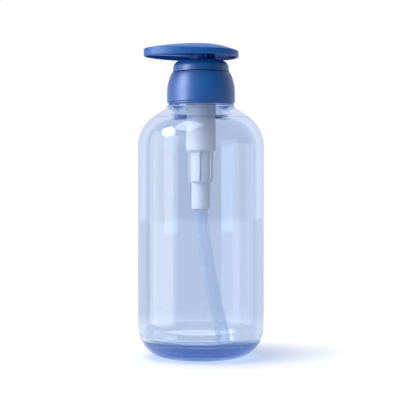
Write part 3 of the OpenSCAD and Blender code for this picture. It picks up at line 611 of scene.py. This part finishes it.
# %% Sweep the dip tube
def tube_line():
    """The tube's middle line as (x, z, lean) from its top end to the bottle's floor."""
    tail_end, short_bend, long_bend, lean = 80.21, 105, 490, math.radians(9)
    line = [(0, z, 0) for z in np.linspace(90.41, tail_end, 4)]
    for a in np.linspace(0, lean, 9)[1:]:
        line.append((short_bend * (1 - math.cos(a)), tail_end - short_bend * math.sin(a), a))
    x, z, _ = line[-1]
    centre_x = x + long_bend * math.cos(lean)
    centre_z = z + long_bend * math.sin(lean)
    for a in np.linspace(lean, math.radians(15.2351), 30)[1:]:
        line.append((centre_x - long_bend * math.cos(a), centre_z - long_bend * math.sin(a), a))
    return line


def tube_rings(line, radius, sides, floor_height):
    """Rings square to the line. The last one is cut level."""
    angles = np.linspace(0, 2 * math.pi, sides, endpoint=False)
    x = np.array([px + radius * np.cos(angles) * math.cos(a) for px, _, a in line])
    z = np.array([pz + radius * np.cos(angles) * math.sin(a) for _, pz, a in line])
    y = np.array([radius * np.sin(angles) for _ in line])
    x[-1] += (z[-1] - floor_height) * math.tan(line[-1][2])
    z[-1] = floor_height
    return x, y, z


line = tube_line()
tube_end = 9.8
outer = tube_rings(line, 3.75, 64, tube_end)
inner = [ring[::-1] for ring in tube_rings(line, 2.75, 64, tube_end)]
tube = close_skin("milky_dip_tube", *(np.concatenate([o, i]) for o, i in zip(outer, inner)), closed=True)
finish_piece(tube, milky_tube, "pump", "frosted_tube", "dip_tube")

# %% [markdown]
# ## White pump cylinder
# The cylinder hangs in the neck by its flange. Below the wide part comes the valve
# section with six ribs, and the tail that grips the tube. The ribs are lifted out of
# the turned skin by the angle, 0.9 mm wide and square as the mould leaves them.

# %% Turn the white cylinder
rib_count, rib_turn = 6, math.radians(10)


def ribs(radius, height, angles):
    if not (93.9 < height < 110.9 and 5.0 < radius < 6.95):
        return np.full_like(angles, radius)
    crest = min(7.0, 5.05 + max(0, height - 94.21))
    step = 2 * math.pi / rib_count
    away = np.abs((angles - rib_turn + step / 2) % step - step / 2) * crest
    return np.where(away < 0.5, np.maximum(radius, crest), radius)


cylinder_outline = softened([
    (9.6, 158.31, 0.3), (7.3, 158.31, 0.3), (7.3, 112.41), (5.3, 112.41, 0.2), (5.3, 96.44), (3.1, 96.44),
    (3.1, 94.11), (1.6, 92.61), (1.6, 90.41), (3.77, 90.41), (3.77, 80.21, 0.15), (5.05, 80.21, 0.3),
    (5.05, 93.81, 0.2), (5.45, 94.21), (6.3, 95.06, 0.2), (6.3, 96.16), (6.3, 98.0), (6.3, 109.5),
    (6.3, 110.6), (6.9, 110.81), (7.0, 110.81), (8.1, 111.91, 0.35), (8.1, 149.81, 0.3), (15, 149.81, 0.25),
    (15, 151.41, 0.25), (9.6, 151.41, 0.2), (9.6, 156.71), (9.95, 156.9, 0.1), (9.95, 157.4, 0.1),
    (9.6, 157.61)
], closed=True)
cylinder = turned("white_cylinder", cylinder_outline, sides=360, reach=ribs)
finish_piece(cylinder, natural_white, "pump", "white_plastic", "pump_housing")

# %% [markdown]
# ## Closure
# The screw cap has a straight band at the bottom and leans in to the dome above it in
# one long curve. A lip stands down inside its lower edge, just over the bottle's
# ledge. Inside is the matching thread, half a pitch away from the neck's.

# %% Turn the closure
def cap_thread(radius, height, angles):
    if abs(radius - 16.45) > 0.01 or not 139.3 < height < 147.3:
        return np.full_like(angles, radius)
    return radius - ridge(height, angles, 138.195, 0.453, 1.25)


closure_outline = (
    softened([(16.9, 138.91), (16.9, 136.41, 0.15), (17.6, 136.41, 0.15), (17.6, 137.41, 0.1),
              (18.3, 137.41, 0.4), (18.3, 142.9)])
    + arc(-5.42, 143.01, 23.72, 0, 25.6, 14)
    + softened([(15.97, 153.25), (15.8, 153.61, 0.32), (11.07, 153.61, 0.2), (11.07, 151.51, 0.2),
                (15.5, 151.51, 0.3), (15.5, 147.4, 0.2), (16.45, 147.4, 0.2), (16.45, 146.9)])[1:]
    + fine_rows(16.45, 146.9, 139.0)
    + [(16.45, 139.0)]
)
closure = turned("screw_closure", closure_outline, sides=224, reach=cap_thread)
finish_piece(closure, satin_blue, "closure", "blue_plastic", "closure")

# %% [markdown]
# ## Dome
# The dome closes the top and guides the pump's stem with a long sleeve inside. Its
# mouth has two notches: the head's lugs pass through them, and a turn of the head
# locks them under the ledge. The notches are made by the angle, like the thread.

# %% Turn the dome
def mouth_notches(radius, height, angles):
    if radius > 6.2 or height < 157.0:
        return np.full_like(angles, radius)
    from_notch = np.degrees(np.abs(np.abs(np.angle(np.exp(1j * angles))) - math.pi / 2))
    return np.where(from_notch < 30, 6.35, radius)


dome_outline = (
    softened([(13.5, 155.5), (13.5, 153.91, 0.25), (15.3, 153.91, 0.25), (15.0, 156.0)])
    + arc(11, 156.11, 4, 0, 84, 12)
    + softened([(10.9, 160.11), (5.7, 160.11, 0.45), (5.7, 157.11, 0.12), (6.4, 157.11), (6.3, 156.5),
                (6.3, 131.21, 0.2), (3.7, 131.21, 0.2), (3.7, 129.61, 0.2), (7.15, 129.61, 0.3),
                (7.15, 158.61, 0.3), (9.62, 158.61), (9.62, 151.41, 0.2), (10.77, 151.41, 0.2),
                (10.77, 157.11, 0.5), (13.5, 157.11, 0.5), (13.5, 155.6)])
)
dome = turned("locking_dome", dome_outline, sides=240, reach=mouth_notches)
finish_piece(dome, satin_blue, "pump", "blue_plastic", "lock_ring")

# %% [markdown]
# ## Pump head
# Seen from above the head is a disc that runs out into a short spout. Three arcs give
# that plan, blended a little where the flanks meet the tip. The top is a shallow
# crown, rounder to the back than along the spout. Under it the head is hollow, with
# a boss on the stem, and one skin can still go all the way round: out over the crown,
# down the side, under the rim, up into the hollow, and down the boss.

# %% The head's plan and crown
rim_height, crown_height = 161.96, 169.41


def plan_reach(angles, inset=0.0):
    """Distance from the axis to the head's edge, drawn in by an inset."""
    across, along = np.abs(np.sin(angles)), -np.cos(angles)
    drop = 18.5 * across
    flank = -drop + np.sqrt(drop**2 + (38.8 - inset) ** 2 - 18.5**2)
    middle = 17.2 * np.maximum(along, 0)
    tip = middle + np.sqrt(np.maximum(middle**2 + (14.0 - inset) ** 2 - 17.2**2, 1e-6))
    tip = np.where(along > 0.9, tip, 60.0)
    sharp = 1.6
    spout = -np.log(np.exp(-sharp * flank) + np.exp(-sharp * tip)) / sharp
    return np.where(along > 0, spout, 20.3 - inset)


def crown(x, y):
    """Height of the crown above a point: rounder behind the axis than along the spout."""
    over = np.sqrt(49.7**2 - y**2)
    behind = crown_height - 49.7 + np.sqrt(49.7**2 - np.minimum(x**2, 400) - y**2 * (x > 0))
    return np.where(x > 0, behind, crown_height - 149 + np.sqrt((149 - 49.7 + over) ** 2 - x**2))


turn = np.linspace(0, 2 * math.pi, 320, endpoint=False)
head_angles = turn + 0.3 * np.sin(turn)
edge = plan_reach(head_angles)
print("head reaches", round(float(edge.max()), 2), "mm to the spout and", round(float(edge[0]), 2), "mm back")

# %% [markdown]
# The edge where crown and side meet has a small rounding, and so has the rim's lower
# edge. Each row of the skin is one ring of points: its distance in from the plan's
# edge, and its height. The last rows go down the boss and up its bore.

# %% Loft the head's skin
def head_rows():
    rows = []
    c, s = np.cos(head_angles), np.sin(head_angles)

    def add(radius, height):
        rows.append((radius * c, radius * s, height + np.zeros_like(radius)))

    top_edge = 0.7
    for share in (0, 0.02, 0.06, 0.12, 0.2, 0.3, 0.4, 0.5, 0.6, 0.7, 0.8, 0.88, 0.94):
        radius = (edge - top_edge) * share
        add(radius, crown(radius * c, radius * s))
    radius = edge - top_edge
    shoulder = crown(radius * c, radius * s)
    add(radius, shoulder)
    for k in range(1, 7):
        a = math.radians(15 * k)
        add(edge - top_edge + top_edge * math.sin(a), shoulder - top_edge + top_edge * math.cos(a))
    for share in (0.33, 0.66):
        add(edge, (shoulder - top_edge) * (1 - share) + (rim_height + 0.4) * share)
    for k in range(5):
        a = math.radians(22.5 * k)
        add(edge - 0.4 + 0.4 * math.cos(a), rim_height + 0.4 - 0.4 * math.sin(a))
    inner = edge - 1.3
    for k in range(4):
        a = math.radians(30 * k)
        add(inner + 0.25 - 0.25 * math.sin(a), rim_height + 0.25 - 0.25 * math.cos(a))
    roof = crown(inner * c, inner * s) - 1.6
    add(inner, roof - 0.8)
    for k in range(1, 4):
        a = math.radians(30 * k)
        add(inner - 0.8 + 0.8 * math.cos(a), roof - 0.8 + 0.8 * math.sin(a))
    for share in (0.85, 0.7, 0.55, 0.4, 0.25, 0.12, 0.0):
        radius = 6.4 + (inner - 0.8 - 6.4) * share
        add(radius, crown(radius * c, radius * s) - 1.6)
    flat = np.full_like(edge, 1.0)
    for k in range(1, 4):
        a = math.radians(30 * k)
        add(flat * (6.4 - math.sin(a)), 167.4 - 0.6 * (1 - math.cos(a)))
    boss_outline = [
        (5.4, 166.0), (5.4, 160.0), (5.4, 146.4), (5.28, 146.12), (5.0, 146.01), (3.7, 146.01),
        (3.42, 146.3), (3.42, 154.01), (1.2, 154.01), (1.2, 164.51), (0, 164.51)
    ]
    for boss_r, boss_z in boss_outline:
        add(flat * boss_r, boss_z)
    return rows


def bar(name, corners):
    """A closed bar from its eight corners in millimetres: four below, then four above."""
    mesh = bpy.data.meshes.new(name)
    mesh.from_pydata(
        [(x * mm, y * mm, z * mm) for x, y, z in corners], [],
        [(3, 2, 1, 0), (4, 5, 6, 7), (0, 1, 5, 4), (1, 2, 6, 5), (2, 3, 7, 6), (3, 0, 4, 7)]
    )
    piece = bpy.data.objects.new(name, mesh)
    bpy.context.scene.collection.objects.link(piece)
    return piece


def weld(target, others, how="UNION"):
    """Welds bars to a piece, or cuts them from it, and removes them."""
    for other in others:
        step = target.modifiers.new("weld", "BOOLEAN")
        step.operation, step.object, step.solver = how, other, "EXACT"
        target.modifiers.move(len(target.modifiers) - 1, 0)
        with bpy.context.temp_override(object=target, active_object=target):
            bpy.ops.object.modifier_apply(modifier=step.name)
        bpy.data.objects.remove(other)


head = close_skin("teardrop_head", *(np.array(a) for a in zip(*head_rows())), closed=False)

# %% [markdown]
# Webs stiffen the boss, a duct leads the lotion to the spout, and two lugs lock the
# head in the dome. They are separate bars at first. A boolean welds them on, bores the
# outlet and cuts the shallow oval mouth round it.

# %% Webs, duct and lugs under the head
def web(angle):
    """A thin upright web that stiffens the boss."""
    a = math.radians(angle)
    out, side = np.array([math.cos(a), math.sin(a)]), np.array([-math.sin(a), math.cos(a)])
    near, far, half_thick = out * 4.6, out * 7.8, side * 0.4
    foot = [near - half_thick, far - half_thick, far + half_thick, near + half_thick]
    return bar(f"web_{angle}", [(*p, 161.01) for p in foot] + [(*p, 168.1) for p in foot])


def lug(side):
    """A lock lug: a short arc that stands out of the boss."""
    angles = np.radians(np.linspace(-20, 20, 9) + 90 * side)
    ring_in = [(4.6 * math.cos(a), 4.6 * math.sin(a)) for a in angles]
    ring_out = [(6.0 * math.cos(a), 6.0 * math.sin(a)) for a in angles]
    loop = ring_out + ring_in[::-1]
    count = len(loop)
    mesh = bpy.data.meshes.new("lug")
    mesh.from_pydata(
        [(x * mm, y * mm, z * mm) for z in (155.01, 156.81) for x, y in loop], [],
        [tuple(range(count))[::-1], tuple(range(count, 2 * count))]
        + [(k, (k + 1) % count, count + (k + 1) % count, count + k) for k in range(count)]
    )
    piece = bpy.data.objects.new("lug", mesh)
    bpy.context.scene.collection.objects.link(piece)
    return piece


def spout_cutter(name, half_width, half_height, inner_end):
    """An oval bar along the spout that cuts in from outside its tip."""
    angles = np.linspace(0, 2 * math.pi, 32, endpoint=False)
    mesh = bpy.data.meshes.new(name)
    mesh.from_pydata(
        [(x * mm, half_width * math.cos(a) * mm, (outlet_height + half_height * math.sin(a)) * mm)
         for x in (-33, inner_end) for a in angles], [],
        [tuple(range(32)), tuple(range(63, 31, -1))]
        + [(k, 32 + k, 32 + (k + 1) % 32, (k + 1) % 32) for k in range(32)]
    )
    piece = bpy.data.objects.new(name, mesh)
    bpy.context.scene.collection.objects.link(piece)
    return piece


outlet_height = 164.51
duct = bar("duct", [
    (-30.4, -2.1, 162.71), (-0.5, -2.1, 162.71), (-0.5, 2.1, 162.71), (-30.4, 2.1, 162.71),
    (-30.4, -2.5, 165.6), (-0.5, -2.5, 168.5), (-0.5, 2.5, 168.5), (-30.4, 2.5, 165.6)
])
weld(head, [web(angle) for angle in range(-80, 81, 20)] + [duct, lug(1), lug(-1)])
weld(head, [
    spout_cutter("mouth", half_width=2.5, half_height=1.15, inner_end=-30.3),
    spout_cutter("outlet", half_width=1, half_height=1, inner_end=-1)
], "DIFFERENCE")
head.data.set_sharp_from_angle(angle=math.radians(38))
finish_piece(head, head_blue, "head", "blue_plastic", "actuator_head")
print("head has", len(head.data.polygons), "faces after welding")

# %% [markdown]
# ## Hidden pieces
# Gasket, piston, stem, plunger, cage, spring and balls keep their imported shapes. They
# only need their finish: natural plastic, soft foam, and drawn steel for the spring
# and balls, with fine streaks across its gloss.

# %% Finish the hidden pieces
def bright_steel(name):
    material = bpy.data.materials.new(name)
    material.use_nodes = True
    nodes, links = material.node_tree.nodes, material.node_tree.links
    body = nodes["Principled BSDF"]
    body.inputs["Metallic"].default_value = 1.0
    streak = noise_field(nodes, links, 2.0, 4)
    greys = two_tones(nodes, links, streak, (0.58, 0.59, 0.61), (0.70, 0.71, 0.72))
    links.new(greys, body.inputs["Base Color"])
    links.new(spread(nodes, links, streak, 0.16, 0.3), body.inputs["Roughness"])
    return material


steel = bright_steel("drawn_steel")
for node, material in {
    "neck_gasket": foam_white, "piston": natural_white, "stem": natural_white, "plunger": natural_white,
    "ball_cage": natural_white, "return_spring": steel, "inlet_ball": steel, "outlet_ball": steel
}.items():
    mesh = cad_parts[node].data
    mesh.materials.clear()
    mesh.materials.append(material)
    print(node, "is finished in", material.name)

# %% [markdown]
# The three blue pieces go into the collection that the cap box shines on.

# %% Give the cap box its pieces
for piece in (closure, dome, head):
    blue_pieces.objects.link(piece)
